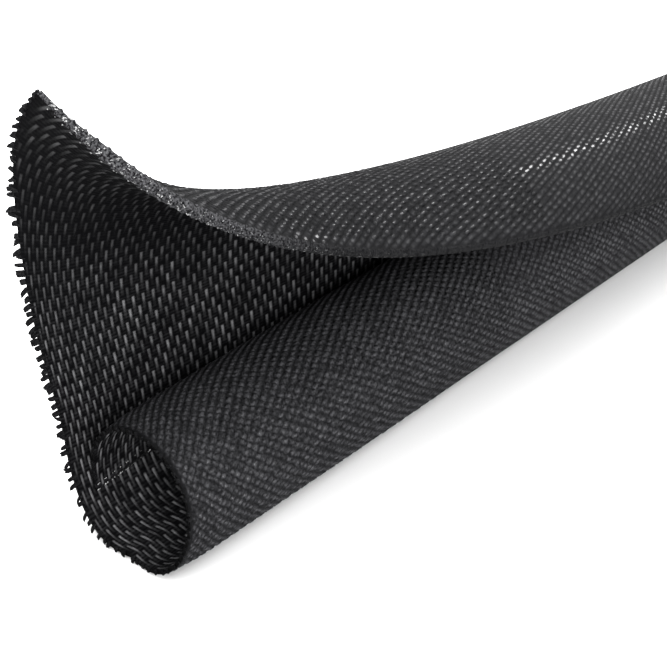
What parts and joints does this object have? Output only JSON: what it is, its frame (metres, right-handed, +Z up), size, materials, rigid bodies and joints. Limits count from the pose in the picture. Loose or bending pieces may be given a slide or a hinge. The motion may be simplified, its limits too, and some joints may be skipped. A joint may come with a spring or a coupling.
{
  "type": "braided cable sleeve",
  "caption": "Split self-wrapping woven sleeve for a bundle of cables, peeled open at one end and curled closed along the rest of its length.",
  "frame": {"origin": "on the narrow flat underneath that the sleeve lies on, at the middle of its length", "axes": "+X along the sleeve from its opened end to its closed end, +Z up, +Y to the side on which the opened flap stands"},
  "size_m": [1.0103, 0.0321, 0.0517],
  "materials": {
    "black_polyester_weave": "matt twill of black yarns with small glossy monofilament floats"
  },
  "bodies": {
    "root": {"woven_sleeve": "black_polyester_weave"}
  },
  "joints": []
}
